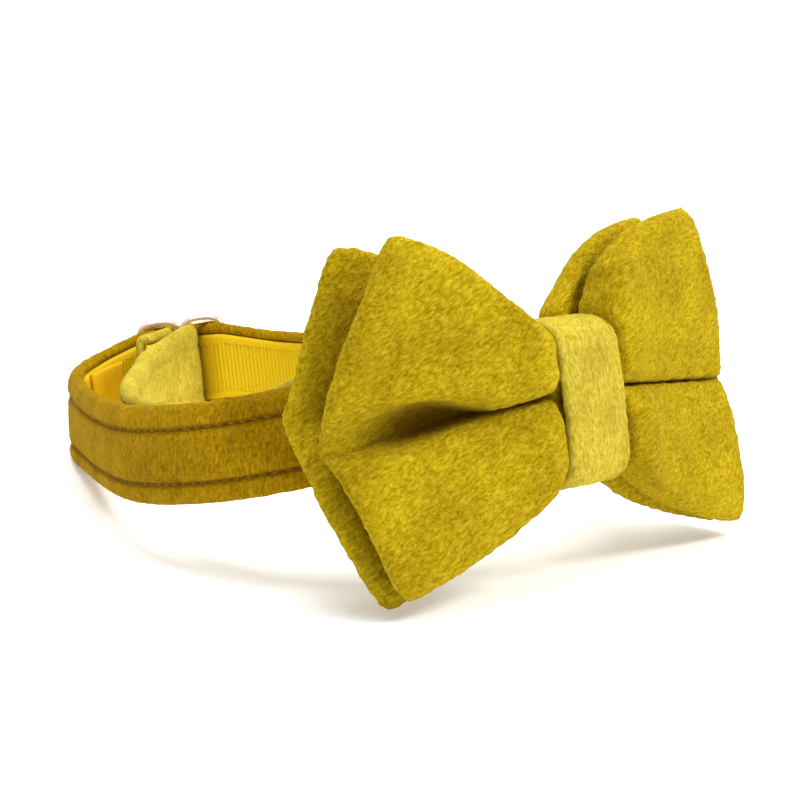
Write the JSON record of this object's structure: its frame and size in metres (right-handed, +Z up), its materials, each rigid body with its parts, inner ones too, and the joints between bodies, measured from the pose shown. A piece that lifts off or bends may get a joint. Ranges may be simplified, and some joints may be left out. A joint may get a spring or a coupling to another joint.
{
  "type": "pet bow tie collar",
  "caption": "Pet collar of mustard velvet with a padded double bow tie, a wrapped knot, a ribbed webbing lining, a rose gold wire slider and a plain clasp.",
  "frame": {"origin": "middle of the bounding box on the floor that the collar rests on", "axes": "+Z up, the bow faces -Y, the loop runs back towards +Y, +X is to the right of someone who looks at the bow"},
  "size_m": [0.1228, 0.1738, 0.0705],
  "materials": {
    "velvet": "short plush velvet, mustard",
    "light_velvet": "short plush velvet, nap brushed light",
    "webbing": "fine ribbed golden webbing",
    "rose_gold": "polished rose gold plated wire",
    "clasp_plastic": "plain dark moulded plastic"
  },
  "bodies": {
    "root": {"bow_front_layer": "velvet", "bow_back_layer": "velvet", "knot_band": "light_velvet", "strap_cover": "velvet", "strap_lining": "webbing", "return_cover": "light_velvet", "return_lining": "webbing", "slider": "rose_gold", "clasp": "clasp_plastic", "seam_tab": "webbing"}
  },
  "joints": []
}
